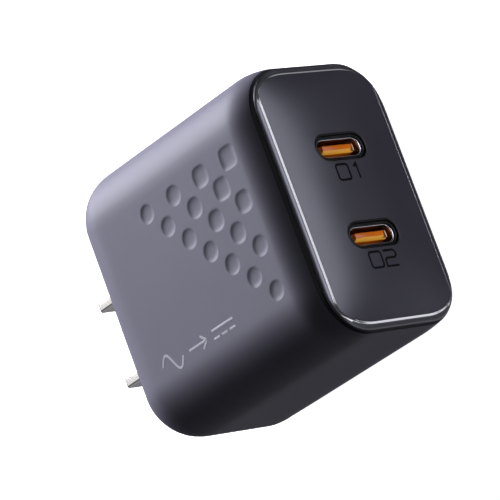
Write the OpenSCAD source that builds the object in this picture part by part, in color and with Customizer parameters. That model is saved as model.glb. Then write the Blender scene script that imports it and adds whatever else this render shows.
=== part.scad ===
// Two-port USB wall charger with a folding two-blade plug.
// It lies on its plain side: X runs along the row of ports, Y points out of the
// outlet face, Z is up through the dimpled side. All sizes are in mm.

/* [Body] */
// length of the body along the row of ports
body_x = 43.4; // [38:0.1:60]
// depth from the front panel to the outlet face
body_d = 47; // [42:0.1:65]
// thickness of the body
body_z = 29.2; // [27:0.1:36]
// rounding of every outer edge of the body
edge_r = 8; // [5:0.1:11]
// wall thickness of the housing
wall = 1.8; // [1.2:0.1:2.4]
// depth over which the front of the body curves in to the panel
nose_depth = 3.8; // [2:0.1:6]

/* [Front panel] */
// length of the panel
panel_x = 41.4; // [36:0.1:58]
// width of the panel
panel_z = 26.2; // [22:0.1:34]
// corner radius of the panel
panel_r = 6.4; // [3:0.1:10]
// how far the panel stands out of the housing
panel_proud = 1.9; // [1:0.1:3]
// drop of the panel face from its middle to its long edges
panel_crown = 1; // [0.2:0.1:1.2]
// width of the bevel round the panel
bevel = 1.1; // [0.4:0.1:2]
// distance between the two ports
port_pitch = 13.98; // [12:0.02:18]
// long side of the port cut-out
port_w = 9.6; // [9.2:0.1:11]
// short side of the port cut-out
port_h = 3.8; // [3.6:0.1:5]

/* [Dimples] */
// number of dimples along each edge of the triangle, counting the skipped ones
dimple_rows = 7; // [3:1:9]
// width of the largest dimple
dimple_max = 3.45; // [2:0.05:4]
// loss of width for each step away from the largest dimple
dimple_shrink = 0.095; // [0:0.005:0.2]
// depth of a dimple
dimple_depth = 0.35; // [0.1:0.05:0.6]
// spacing along the depth of the body
dimple_step_y = 3.351; // [3:0.001:4]
// spacing along the row of ports
dimple_step_x = 3.524; // [3:0.001:4]

/* [Plug] */
// distance between the two blades
blade_pitch = 12.7; // [12.6:0.1:12.8]
// thickness of a blade
blade_t = 1.5; // [1.4:0.01:1.6]
// width of a blade
blade_w = 6.35; // [6:0.01:6.6]
// reach of a blade from the hinge axis
blade_reach = 14.55; // [12:0.05:22]
// distance of the hinge axis below the outlet face
axis_depth = 3.45; // [3.4:0.05:5]
// height of the hinge axis above the middle of the body
axis_z = 0.75; // [-1:0.05:3]
// length of the plug carrier
carrier_x = 22; // [18:0.5:28]
// radius of the carrier barrel
barrel_r = 3.4; // [3.3:0.05:4]
// radius of the stub axles
axle_r = 1.5; // [1:0.1:2]
// gap between the carrier and its bay
swing_gap = 0.2; // [0.1:0.05:0.4]

/* [Inside] */
// thickness of the circuit boards
board_t = 1.2; // [0.8:0.1:1.6]
// height of the top of the main board
main_z = -8.6; // [-9:0.1:-7]
// diameter of a bulk capacitor
bulk_d = 8; // [6:0.5:9]
// height of a bulk capacitor
bulk_h = 18; // [12:0.5:19]

/* [Hidden] */
$fn = 64;
over = 1;                              // how far a cutter runs past a face
hx = body_x / 2;
hz = body_z / 2;
rim_y = -body_d + panel_proud;         // front plane of the housing
full_y = rim_y - (edge_r - nose_depth); // where the rounded body would end uncut
mouth_x = hx - 2.9;                    // half length of the housing mouth
mouth_z = hz - 3.2;                    // half width of the housing mouth
mouth_r = 5;
skirt_t = 1.2;                         // wall of the panel skirt
skirt_d = 3;                           // how far the skirt enters the mouth
skirt_gap = 0.05;
crown_r = (panel_z * panel_z / 4 + panel_crown * panel_crown) / (2 * panel_crown);
trim_t = 0.35;                         // wall of the port trim
shell_w = 8.94;                        // outer size of a USB-C receptacle
shell_h = 3.26;
shell_t = 0.3;
shell_front = -body_d + 0.45;          // front edge of the receptacle shell
port_board_y = -body_d + 9.4;          // front face of the port board
tongue_w = 6.69;
tongue_t = 0.7;
tongue_front = shell_front + 0.55;
tongue_base = port_board_y - 2.6;      // front face of the tongue's base block
contact_pitch = 0.5;
contact_n = 12;
contact_t = 0.06;
dimple_x = 10.22;                      // place of the smallest corner dimple
dimple_y = -18.59;
cradle_x = 13.2;                       // half length of the cradle
cradle_back = -9;                      // inner face of the cradle
cradle_top = axis_z + 5.2;
cradle_low = -hz + wall;
bay_r = barrel_r + swing_gap;
slot_w = blade_t + 0.6;
slot_deep = axis_depth + blade_w / 2 + 0.35;
axle_gap = 0.05;
axle_end = cradle_x - 0.1;
retainer_t = 1.2;
retainer_y = cradle_back - retainer_t;
root_back = 3.1;                       // blade root behind the hinge axis
spring_t = 0.25;
input_y = retainer_y - 2.2;            // rear face of the input board
input_x = 15;
board_x = 17.8;
main_front = port_board_y + board_t;
main_back = input_y - board_t - 0.6;
main_low = main_z - board_t;
spreader_z = -hz + wall;
spreader_x = 13.6;
spreader_t = 0.8;
film_t = 0.3;
chip_h = 1;
pad_z = spreader_z + spreader_t;
transformer_y = -26.4;

// rounded block along Z with the edge rounding running all the way round
module rounded_block(ax, ay, z0, z1, r) {
  module side(w) {
    difference() {
      translate([0, z0]) square([w, z1 - z0]);
      translate([w - r, z1 - r]) difference() {
        square(r + over);
        circle(r);
      }
      translate([w - r, z0 - over]) difference() {
        square([r + over, r + over]);
        translate([0, r + over]) circle(r);
      }
    }
  }
  for (k = [0, 1]) {
    mirror([0, k, 0]) rotate([90, 0, 90]) linear_extrude(2 * (ax - r), center = true) side(ay);
    mirror([k, 0, 0]) rotate([90, 0, 0]) linear_extrude(2 * (ay - r), center = true) side(ax);
  }
  for (x = [r - ax, ax - r], y = [r - ay, ay - r])
    translate([x, y, 0]) rotate_extrude() side(r);
}

// flat rounded rectangle as an outline
module rounded_rect(ax, ay, r) {
  if (ax > r) square([2 * (ax - r), 2 * ay], center = true);
  if (ay > r) square([2 * ax, 2 * (ay - r)], center = true);
  for (x = [r - ax, ax - r], y = [r - ay, ay - r]) translate([x, y]) circle(r);
}

// rounded rectangle lying across Y, from y0 to y1
module plate(ax, az, r, y0, y1) {
  translate([0, y0, 0]) rotate([-90, 0, 0]) linear_extrude(y1 - y0) rounded_rect(ax, az, r);
}

// box between two corners
module block(p0, p1) {
  translate(p0) cube(p1 - p0);
}

// cylinder along Y
module rod_y(r, y0, y1) {
  translate([0, y0, 0]) rotate([-90, 0, 0]) cylinder(r = r, h = y1 - y0);
}

// cylinder along X
module rod_x(r, x0, x1) {
  translate([x0, 0, 0]) rotate([0, 90, 0]) cylinder(r = r, h = x1 - x0);
}

// body with every outer face moved in by d
module body_form(d) {
  rotate([-90, 0, 0]) rounded_block(hx - d, hz - d, full_y + d, -d, edge_r - d);
}

module dimples() {
  last = dimple_rows - 1;
  for (j = [0 : last]) for (i = [j : 2 : last]) {
    w = dimple_max - dimple_shrink * sqrt((last - i) * (last - i) + j * j);
    r = (w * w / 4 + dimple_depth * dimple_depth) / (2 * dimple_depth);
    translate([dimple_x - dimple_step_x * j, dimple_y - dimple_step_y * i, hz + r - dimple_depth])
      sphere(r);
  }
}

// room taken by the bay and the blade slots
module plug_room() {
  translate([0, -axis_depth, axis_z]) rod_x(bay_r, -carrier_x / 2 - swing_gap, carrier_x / 2 + swing_gap);
  block([-carrier_x / 2 - swing_gap, -axis_depth, axis_z - bay_r],
        [carrier_x / 2 + swing_gap, over, axis_z + bay_r]);
  for (s = [-1, 1])
    block([s * blade_pitch / 2 - slot_w / 2, -slot_deep, -hz - over],
          [s * blade_pitch / 2 + slot_w / 2, over, axis_z]);
}

module housing() {
  color("#6f6d7c") {
    difference() {
      body_form(0);
      block([-hx - over, full_y - over, -hz - over], [hx + over, rim_y, hz + over]);
      body_form(wall);
      plate(mouth_x, mouth_z, mouth_r, rim_y - over, full_y + edge_r);
      dimples();
      plug_room();
    }
  }
}

module front_panel() {
  color("#3f3d48") difference() {
    union() {
      intersection() {
        union() {
          plate(panel_x / 2, panel_z / 2, panel_r, rim_y - 0.7, rim_y);
          plate(panel_x / 2 - bevel / 2, panel_z / 2 - bevel / 2, panel_r - bevel / 2,
                rim_y - 1.05, rim_y - 0.7);
          plate(panel_x / 2 - bevel, panel_z / 2 - bevel, panel_r - bevel, -body_d, rim_y - 1.05);
        }
        translate([0, crown_r - body_d, 0]) rod_x(crown_r, -hx, hx, $fn = 720);
      }
      plate(mouth_x - skirt_gap, mouth_z - skirt_gap, mouth_r - skirt_gap, rim_y, rim_y + skirt_d);
      for (x = [-15, 15], z = [-8, 8]) translate([x, 0, z]) rod_y(1.6, rim_y, port_board_y);
    }
    difference() {
      plate(mouth_x - skirt_t, mouth_z - skirt_t, mouth_r - skirt_t, rim_y + 0.1, port_board_y + over);
      // posts that hold the port board
      for (x = [-15, 15], z = [-8, 8]) translate([x, 0, z]) rod_y(1.6, rim_y, port_board_y + 2 * over);
    }
    for (s = [-1, 1]) translate([s * port_pitch / 2, 0, 0])
      plate(port_h / 2, port_w / 2, port_h / 2, -body_d - over, rim_y + over);
  }
}

// place of one of the two ports
module at_port(s) {
  translate([s * port_pitch / 2, 0, 0]) children();
}

module trim_shape() {
  color("#111114") difference() {
    plate(port_h / 2, port_w / 2, port_h / 2, -body_d + 0.25, rim_y + 0.1);
    plate(shell_h / 2, shell_w / 2, shell_h / 2, -body_d - over, rim_y + over);
  }
}

module port_trim_1() { at_port(1) trim_shape(); }
module port_trim_2() { at_port(-1) trim_shape(); }

module shell_shape() {
  color("#b9bbc0") difference() {
    plate(shell_h / 2, shell_w / 2, shell_h / 2, shell_front, port_board_y);
    plate(shell_h / 2 - shell_t, shell_w / 2 - shell_t, shell_h / 2 - shell_t,
          shell_front - over, port_board_y + over);
  }
}

module usb_shell_1() { at_port(1) shell_shape(); }
module usb_shell_2() { at_port(-1) shell_shape(); }

module tongue_shape() {
  color("#e07a10") {
    block([-tongue_t / 2, tongue_front, -tongue_w / 2], [tongue_t / 2, tongue_base, tongue_w / 2]);
    plate(shell_h / 2 - shell_t, shell_w / 2 - shell_t, shell_h / 2 - shell_t,
          tongue_base, port_board_y);
  }
}

module usb_tongue_1() { at_port(1) tongue_shape(); }
module usb_tongue_2() { at_port(-1) tongue_shape(); }

module contact_rows() {
  color("#d4af55") for (s = [0, 1], k = [0 : contact_n - 1])
    mirror([s, 0, 0])
      block([tongue_t / 2, tongue_front + 0.5, (k - contact_n / 2 + 0.5) * contact_pitch - 0.13],
            [tongue_t / 2 + contact_t, tongue_base, (k - contact_n / 2 + 0.5) * contact_pitch + 0.13]);
}

module usb_contacts_1() { at_port(1) contact_rows(); }
module usb_contacts_2() { at_port(-1) contact_rows(); }

module port_board() {
  color("#1f6b45")
    block([-board_x, port_board_y, main_low - 0.9], [board_x, port_board_y + board_t, mouth_z - 1]);
}

module plug_cradle() {
  color("#3a3942") difference() {
    intersection() {
      body_form(wall);
      block([-cradle_x, cradle_back, cradle_low], [cradle_x, -wall, cradle_top]);
    }
    plug_room();
    // U-shaped bearing seats, open towards the inside
    translate([0, -axis_depth, axis_z])
      rod_x(axle_r + axle_gap, -cradle_x - over, cradle_x + over);
    block([-cradle_x - over, cradle_back - over, axis_z - axle_r - axle_gap],
          [cradle_x + over, -axis_depth, axis_z + axle_r + axle_gap]);
    // windows and shallow pockets for the contact springs and the detent spring
    for (x = [-blade_pitch / 2, 0, blade_pitch / 2]) {
      block([x - 1.6, cradle_back - over, axis_z - 2.6], [x + 1.6, -axis_depth, axis_z + 2.6]);
      block([x - 1.6, cradle_back - over, axis_z - 4.5], [x + 1.6, cradle_back + spring_t + 0.1, axis_z]);
    }
  }
}

module carrier_retainer() {
  color("#2b2a31") difference() {
    union() {
      block([-cradle_x, retainer_y, axis_z - 5.6], [cradle_x, cradle_back, cradle_top]);
      for (s = [-1, 1])
        block([s * (cradle_x - 1) - 0.9, cradle_back, axis_z - axle_r],
              [s * (cradle_x - 1) + 0.9, -axis_depth, axis_z + axle_r]);
    }
    translate([0, -axis_depth, axis_z])
      rod_x(axle_r + axle_gap, -cradle_x - over, cradle_x + over);
    for (x = [-blade_pitch / 2, blade_pitch / 2])
      block([x - 0.9, retainer_y - over, axis_z - 4.4], [x + 0.9, cradle_back + over, axis_z - 4.1]);
    for (s = [-1, 1]) translate([s * 9.9, 0, axis_z + 4]) rod_y(0.8, retainer_y - over, cradle_back + over);
  }
}

module retainer_screws() {
  color("#8d9096") for (s = [-1, 1]) translate([s * 9.9, 0, axis_z + 4]) {
    rod_y(0.75, retainer_y, cradle_back);
    difference() {
      rod_y(1.3, retainer_y - 0.8, retainer_y);
      for (a = [0, 90]) rotate([0, a, 0])
        block([-0.9, retainer_y - 1, -0.15], [0.9, retainer_y - 0.4, 0.15]);
    }
  }
}

module plug_carrier() {
  color("#3f3d48") translate([0, -axis_depth, axis_z]) difference() {
    union() {
      rod_x(barrel_r, -carrier_x / 2, carrier_x / 2);
      block([-carrier_x / 2, 0, 0], [carrier_x / 2, barrel_r, barrel_r]);
      rod_x(axle_r, -axle_end, axle_end);
    }
    // slots for the blade roots
    for (s = [-1, 1])
      block([s * blade_pitch / 2 - blade_t / 2, -root_back, -blade_w / 2],
            [s * blade_pitch / 2 + blade_t / 2, barrel_r + over, blade_w / 2]);
    // opening through which the contact spring reaches the root
    for (s = [-1, 1])
      block([s * blade_pitch / 2 - blade_t / 2, -barrel_r - over, -1.6],
            [s * blade_pitch / 2 + blade_t / 2, -root_back, 1.6]);
    // detent notches for the two positions
    rod_notch(0);
    rod_notch(90);
  }
}

// notch across the middle of the barrel
module rod_notch(a) {
  rotate([a, 0, 0]) translate([0, -barrel_r - 0.25, 0]) rod_x(0.7, -1.4, 1.4);
}

module blade_shape(s) {
  tip = 1;                             // length of the tip chamfer
  color("#c9cbd0") translate([s * blade_pitch / 2, -axis_depth, axis_z]) {
    rotate([90, 0, 90]) linear_extrude(blade_t, center = true)
      polygon([[-root_back, -1.6], [-root_back + 0.6, -1.6], [-root_back + 0.6, -blade_w / 2 + 1.2],
               [-1.6, -blade_w / 2 + 0.2], [-0.6, -blade_w / 2], [blade_reach - tip, -blade_w / 2],
               [blade_reach, -blade_w / 2 + tip], [blade_reach, blade_w / 2 - tip],
               [blade_reach - tip, blade_w / 2], [-0.6, blade_w / 2], [-1.6, blade_w / 2 - 0.2],
               [-root_back + 0.6, blade_w / 2 - 1.2], [-root_back + 0.6, 1.6], [-root_back, 1.6]]);
  }
}

module blade_1() { blade_shape(1); }
module blade_2() { blade_shape(-1); }

// leaf spring that rises from the retainer towards the barrel
module leaf(w, tip_y) {
  block([-w / 2, cradle_back, axis_z - 4.4], [w / 2, cradle_back + spring_t, axis_z + 1.2]);
  block([-w / 2, cradle_back + spring_t, axis_z + 1.2 - spring_t], [w / 2, tip_y, axis_z + 1.2]);
  block([-w / 2, tip_y - spring_t, axis_z - 1], [w / 2, tip_y, axis_z + 1.2 - spring_t]);
}

module contact_spring_shape(s) {
  color("#c98a4b") translate([s * blade_pitch / 2, 0, 0]) {
    leaf(1.2, -axis_depth - barrel_r - 0.2);
    block([-0.6, input_y - board_t - 0.2, axis_z - 4.4],
          [0.6, cradle_back, axis_z - 4.4 + spring_t]);
  }
}

module contact_spring_1() { contact_spring_shape(1); }
module contact_spring_2() { contact_spring_shape(-1); }

module detent_spring() {
  color("#b9bbc0") leaf(2.2, -axis_depth - barrel_r - 0.2);
}

module input_board() {
  color("#1f6b45") difference() {
    block([-input_x, input_y - board_t, main_z], [input_x, input_y, 10]);
    for (s = [-1, 1])
      block([s * blade_pitch / 2 - 0.7, input_y - board_t - over, axis_z - 4.5],
            [s * blade_pitch / 2 + 0.7, input_y + over, axis_z - 4]);
  }
}

module main_board() {
  color("#1f6b45") block([-board_x, main_front, main_low], [board_x, main_back + 1.8, main_z]);
}

module fuse() {
  color("#d9d4c2") translate([-13.4, 0, main_z + 1.7]) {
    rod_y(1.7, main_front + 0.2, -29.4);
  }
}

module bridge_rectifier() {
  color("#202024") {
    block([-16, -28.2, main_z], [-11, -23, main_z + 1.6]);
    for (x = [-15.6, -12], y = [-29, -23])
      block([x, y, main_z], [x + 0.6, y + 0.8, main_z + 0.8]);
  }
}

module x_capacitor() {
  color("#d8b13a") block([-9.2, -18.8, main_z], [-0.5, -14, main_z + 11.5]);
}

module y_capacitor() {
  color("#3a6ea8") translate([13.4, -22.2, main_z + 6]) {
    rod_y(3.2, -2, 0);
    for (x = [-1.8, 1.8]) block([x - 0.3, -1.3, -6], [x + 0.3, -0.7, -2.5]);
  }
}

choke_x = 4.6;
choke_y = -16.4;
choke_z = 6.2;                         // height of the choke's middle above the board

module choke_core() {
  color("#3c6b57") translate([choke_x, choke_y, main_z + choke_z]) rotate([90, 0, 0]) difference() {
    cylinder(r = 4.2, h = 3, center = true);
    cylinder(r = 2.2, h = 3 + over, center = true);
  }
}

module choke_winding() {
  color("#b5652b") translate([choke_x, choke_y, main_z + choke_z]) {
    // turns round the two sides of the core
    for (a = [-50, -25, 0, 25, 50, 130, 155, 180, 205, 230]) rotate([0, a, 0])
      translate([3.2, 0, 0]) difference() {
        block([-1.5, -2, -0.35], [1.5, 2, 0.35]);
        block([-1.05, -1.55, -over], [1.05, 1.55, over]);
      }
    for (x = [-2.6, 2]) block([x, -0.3, -choke_z], [x + 0.6, 0.3, -4.9]);
  }
}

module bulk_capacitors() {
  color("#23262c") for (s = [-1, 1]) translate([s * 13.5, input_y - board_t - bulk_d / 2 - 0.2, main_z]) difference() {
    cylinder(d = bulk_d, h = bulk_h);
    difference() {
      translate([0, 0, 1.8]) cylinder(d = bulk_d + over, h = 0.6);
      translate([0, 0, 1.8]) cylinder(d = bulk_d - 0.6, h = 0.6);
    }
  }
}

module transformer_core() {
  color("#2e2e33") translate([0, transformer_y, main_z + 8.2]) difference() {
    block([-8, -5.5, -5.8], [8, 5.5, 7.4]);
    // window for the bobbin, with a round middle leg left standing
    difference() {
      block([-6, -5.5 - over, -3.8], [6, 5.5 + over, 5.4]);
      translate([0, 0, -3.9]) cylinder(r = 3, h = 9.4);
    }
  }
}

module transformer_bobbin() {
  color("#1c1c20") translate([0, transformer_y, main_z + 8.2]) {
    difference() {
      union() {
        for (z = [-3.7, 4.5]) block([-5.9, -7, z], [5.9, 7, z + 0.8]);
        translate([0, 0, -3.7]) cylinder(r = 3.7, h = 9);
      }
      translate([0, 0, -4]) cylinder(r = 3.05, h = 10);
    }
    // feet that carry the transformer on the board
    for (s = [0, 1]) mirror([0, s, 0])
      block([-5.9, 5.6, -8.2], [5.9, 7, -3.7]);
  }
}

module transformer_winding() {
  color("#e0b64a") translate([0, transformer_y, main_z + 8.2]) difference() {
    translate([0, 0, -2.9]) cylinder(r = 5.8, h = 7.4);
    translate([0, 0, -3.4]) cylinder(r = 3.75, h = 8.4);
  }
}

module switch_chip() {
  color("#202024") block([-12, -26, main_low - chip_h], [-4, -20, main_low]);
}

module controller_chip() {
  color("#202024") block([4, -25, main_low - chip_h], [9, -20, main_low]);
}

module port_chips() {
  color("#202024") for (s = [-1, 1])
    block([s * 11 - 2.5, port_board_y + board_t, 1], [s * 11 + 2.5, port_board_y + board_t + 0.9, 6]);
}

module output_capacitors() {
  color("#a9abb2") for (y = [-27.6, -33.4]) translate([13.4, y, main_z]) cylinder(d = 5.6, h = 9);
}

module thermal_pads() {
  color("#6f8fb5") {
    block([-12, -26, pad_z + film_t], [-4, -20, main_low - chip_h]);
    block([4, -25, pad_z + film_t], [9, -20, main_low - chip_h]);
  }
}

module heat_spreader() {
  color("#b9bbc0")
    block([-spreader_x, main_front + 1, spreader_z], [spreader_x, main_back, pad_z]);
}

module insulation_film() {
  color("#d8cfa0") block([-spreader_x, main_front + 1, pad_z], [spreader_x, main_back, pad_z + film_t]);
}

housing();
front_panel();
port_trim_1();
port_trim_2();
usb_shell_1();
usb_shell_2();
usb_tongue_1();
usb_tongue_2();
usb_contacts_1();
usb_contacts_2();
port_board();
plug_cradle();
carrier_retainer();
retainer_screws();
plug_carrier();
blade_1();
blade_2();
contact_spring_1();
contact_spring_2();
detent_spring();
input_board();
main_board();
fuse();
bridge_rectifier();
x_capacitor();
y_capacitor();
choke_core();
choke_winding();
bulk_capacitors();
transformer_core();
transformer_bobbin();
transformer_winding();
switch_chip();
controller_chip();
port_chips();
output_capacitors();
thermal_pads();
heat_spreader();
insulation_film();
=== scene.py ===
import math
import bpy
import bmesh
import numpy as np
from mathutils import Matrix, Vector
from mathutils.geometry import delaunay_2d_cdt


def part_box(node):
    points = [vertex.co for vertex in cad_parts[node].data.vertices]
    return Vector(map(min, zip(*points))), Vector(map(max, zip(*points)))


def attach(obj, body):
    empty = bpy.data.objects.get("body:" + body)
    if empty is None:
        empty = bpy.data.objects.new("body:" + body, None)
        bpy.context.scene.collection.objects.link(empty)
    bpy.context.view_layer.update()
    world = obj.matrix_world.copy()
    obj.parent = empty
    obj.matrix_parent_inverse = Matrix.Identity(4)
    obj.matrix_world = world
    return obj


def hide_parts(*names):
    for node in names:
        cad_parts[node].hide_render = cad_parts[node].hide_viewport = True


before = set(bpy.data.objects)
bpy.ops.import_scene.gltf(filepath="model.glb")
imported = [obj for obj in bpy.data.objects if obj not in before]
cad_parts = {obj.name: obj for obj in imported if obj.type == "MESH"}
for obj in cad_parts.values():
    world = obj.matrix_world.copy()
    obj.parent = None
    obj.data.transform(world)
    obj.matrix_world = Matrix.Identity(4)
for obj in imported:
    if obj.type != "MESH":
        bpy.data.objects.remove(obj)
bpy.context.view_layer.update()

MM = 0.001


def node_mm(name):
    """Lowest and highest corner of a CAD node, in mm."""
    lo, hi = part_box(name)
    return np.array(lo) / MM, np.array(hi) / MM


HOUSING = node_mm("housing")
PANEL = node_mm("front_panel")
MARK_H = 0.03                              # thickness of the marks on the dimpled side
PRINT_H = 0.012                            # thickness of the print on the panel
HX = HOUSING[1][0]                         # half length of the body
HZ = HOUSING[1][2] - MARK_H                # half thickness of the body, below the marks
RIM = HOUSING[0][1]                        # front plane of the housing
FRONT = PANEL[0][1]                        # foremost point of the panel
BACK = HOUSING[1][1]                       # outlet face
PX, PZ = PANEL[1][0], PANEL[1][2]          # half size of the panel
CARRIER = node_mm("plug_carrier")
BLADE = node_mm("blade_1")
SHELL = node_mm("usb_shell_1")
TONGUE = node_mm("usb_tongue_1")
TRIM = node_mm("port_trim_1")
PORT_X = (SHELL[0][0] + SHELL[1][0]) / 2   # distance of a port from the middle
BLADE_X = (BLADE[0][0] + BLADE[1][0]) / 2  # distance of a blade from the middle
AXIS_Z = (BLADE[0][2] + BLADE[1][2]) / 2   # height of the hinge axis

# ---------------------------------------------------------------- mesh helpers


def make(name, verts, faces, material, body="body", replaces=(), smooth=True, slot=None):
    """A piece from points in mm."""
    me = bpy.data.meshes.new(name)
    me.from_pydata([tuple(float(c) * MM for c in v) for v in verts], [], [list(f) for f in faces])
    me.validate()
    me.update()
    ob = bpy.data.objects.new(name, me)
    bpy.context.scene.collection.objects.link(ob)
    tidy(ob)
    for p in me.polygons:
        p.use_smooth = smooth
    me.materials.append(material)
    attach(ob, body)
    if replaces:
        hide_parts(*replaces)
    return ob


def tidy(ob):
    """Merges doubled points and turns every face outwards."""
    bm = bmesh.new()
    bm.from_mesh(ob.data)
    bmesh.ops.remove_doubles(bm, verts=bm.verts, dist=1e-7)
    bmesh.ops.dissolve_degenerate(bm, edges=bm.edges, dist=1e-8)
    bmesh.ops.recalc_face_normals(bm, faces=bm.faces)
    bm.to_mesh(ob.data)
    bm.free()


def sharp_by_angle(ob, degrees):
    """Keeps edges sharper than this angle sharp."""
    ob.data.set_sharp_from_angle(angle=math.radians(degrees))


def bridge(rings, first_cap=True, last_cap=True):
    """Faces between closed rings of equal length, and a cap at each end if asked."""
    n = len(rings[0])
    verts = [p for r in rings for p in r]
    faces = []
    for k in range(len(rings) - 1):
        a, b = k * n, (k + 1) * n
        for i in range(n):
            j = (i + 1) % n
            faces.append((a + i, a + j, b + j, b + i))
    if first_cap:
        faces.append(tuple(range(n - 1, -1, -1)))
    if last_cap:
        base = (len(rings) - 1) * n
        faces.append(tuple(base + i for i in range(n)))
    return verts, faces


def spread(a, b, step):
    """Evenly spaced values from a to b, without b."""
    n = max(1, int(math.ceil(abs(b - a) / step)))
    return [a + (b - a) * k / n for k in range(n)]


def stadium(cx, half_w, half_h):
    """Points round a slot with round ends in X and Z; the long side lies along Z."""
    pts = []
    n = 20
    straight = half_w - half_h
    for k in range(n + 1):
        t = math.pi * k / n
        pts.append((cx + half_h * math.cos(t), straight + half_h * math.sin(t)))
    for k in range(n + 1):
        t = math.pi + math.pi * k / n
        pts.append((cx + half_h * math.cos(t), -straight + half_h * math.sin(t)))
    return pts


def quarter(cx, cz, rx, rz, start, n):
    """A quarter of an ellipse in X and Z, without its last point."""
    turns = [start + math.pi / 2 * k / n for k in range(n)]
    return [(cx + rx * math.cos(t), cz + rz * math.sin(t)) for t in turns]


def at_depth(pts, y):
    """Points in X and Z, set at one depth."""
    return [(x, y, z) for x, z in pts]


def add_mesh(verts, faces, more_verts, more_faces):
    """Adds one set of points and faces to another."""
    first = len(verts)
    verts.extend(more_verts)
    faces.extend(tuple(i + first for i in f) for f in more_faces)


# ---------------------------------------------------------------- materials


class Nodes:
    """Short way to lay out a node tree."""

    def __init__(self, name):
        self.mat = bpy.data.materials.new(name)
        self.mat.use_nodes = True
        self.tree = self.mat.node_tree
        self.bsdf = self.tree.nodes["Principled BSDF"]
        coord = self.tree.nodes.new("ShaderNodeTexCoord")
        self.place = coord.outputs["Object"]

    def add(self, kind):
        return self.tree.nodes.new(kind)

    def link(self, a, b):
        self.tree.links.new(a, b)

    def noise(self, scale, detail=3.0, stretch=None):
        """Noise fixed to the object; stretch scales it along each axis."""
        node = self.add("ShaderNodeTexNoise")
        node.inputs["Scale"].default_value = scale
        node.inputs["Detail"].default_value = detail
        where = self.place
        if stretch:
            mapping = self.add("ShaderNodeMapping")
            mapping.inputs["Scale"].default_value = stretch
            self.link(where, mapping.inputs["Vector"])
            where = mapping.outputs["Vector"]
        self.link(where, node.inputs["Vector"])
        return node.outputs["Fac"]

    def ramp(self, source, low, high):
        """Turns the usual range of a noise into low to high."""
        node = self.add("ShaderNodeMapRange")
        node.inputs["From Min"].default_value = 0.35
        node.inputs["From Max"].default_value = 0.65
        node.inputs["To Min"].default_value = low
        node.inputs["To Max"].default_value = high
        self.link(source, node.inputs["Value"])
        return node.outputs["Result"]

    def colours(self, source, dark, light, a=0.35, b=0.65):
        node = self.add("ShaderNodeValToRGB")
        node.color_ramp.elements[0].position = a
        node.color_ramp.elements[0].color = (*dark, 1)
        node.color_ramp.elements[1].position = b
        node.color_ramp.elements[1].color = (*light, 1)
        self.link(source, node.inputs["Fac"])
        return node.outputs["Color"]

    def bump(self, height, distance, strength):
        node = self.add("ShaderNodeBump")
        node.inputs["Distance"].default_value = distance
        node.inputs["Strength"].default_value = strength
        self.link(height, node.inputs["Height"])
        return node.outputs["Normal"]

    def done(self, colour=None, roughness=None, normal=None, **fixed):
        """Links what varies, and sets the fixed values on the shader's own sockets."""
        if colour:
            self.link(colour, self.bsdf.inputs["Base Color"])
        if roughness:
            self.link(roughness, self.bsdf.inputs["Roughness"])
        if normal:
            self.link(normal, self.bsdf.inputs["Normal"])
        for key, value in fixed.items():
            self.bsdf.inputs[key.replace("_", " ")].default_value = value
        return self.mat


def plastic(name, colour, rough, grain, relief, vary, **fixed):
    """Moulded plastic: fine spark-eroded grain and slightly uneven sheen."""
    m = Nodes(name)
    fine = m.noise(grain, 2.0)
    broad = m.noise(60.0, 3.0)
    dark = tuple(c * (1 - vary) for c in colour)
    light = tuple(min(1, c * (1 + vary)) for c in colour)
    col = m.colours(broad, dark, light)
    ro = m.ramp(broad, rough * 0.95, rough * 1.05)
    return m.done(col, ro, m.bump(fine, relief, 0.6), **fixed)


def metal(name, colour, rough, brushed=None, relief=2e-6):
    """Plated or rolled metal, with the marks of rolling if brushed gives their stretch."""
    m = Nodes(name)
    marks = m.noise(1600.0, 2.0, brushed)
    broad = m.noise(200.0, 3.0)
    dark = tuple(c * 0.9 for c in colour)
    col = m.colours(broad, dark, colour)
    ro = m.ramp(marks, rough * 0.9, rough * 1.12)
    return m.done(col, ro, m.bump(marks, relief, 0.5), Metallic=1.0)


def wound(name, colour, pitch, axis, rough, **fixed):
    """Enamelled wire or tape: even bands across an axis."""
    m = Nodes(name)
    wave = m.add("ShaderNodeTexWave")
    wave.bands_direction = axis
    wave.inputs["Scale"].default_value = 0.314 / pitch
    wave.inputs["Distortion"].default_value = 0.3
    m.link(m.place, wave.inputs["Vector"])
    col = m.colours(wave.outputs["Fac"], tuple(c * 0.45 for c in colour), colour, 0.05, 0.5)
    ro = m.ramp(m.noise(900.0), rough * 0.8, rough * 1.3)
    return m.done(col, ro, m.bump(wave.outputs["Fac"], 3e-5, 0.8), **fixed)


def board(name):
    """Solder mask over copper: pads and tracks as a faint cell pattern."""
    m = Nodes(name)
    cells = m.add("ShaderNodeTexVoronoi")
    cells.distance = "MANHATTAN"
    cells.inputs["Scale"].default_value = 700.0
    cells.inputs["Randomness"].default_value = 0.6
    m.link(m.place, cells.inputs["Vector"])
    col = m.colours(cells.outputs["Distance"], (0.012, 0.10, 0.055), (0.02, 0.19, 0.10), 0.2, 0.5)
    ro = m.ramp(m.noise(1500.0), 0.28, 0.42)
    return m.done(col, ro, m.bump(cells.outputs["Distance"], 1.5e-5, 0.5))


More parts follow.
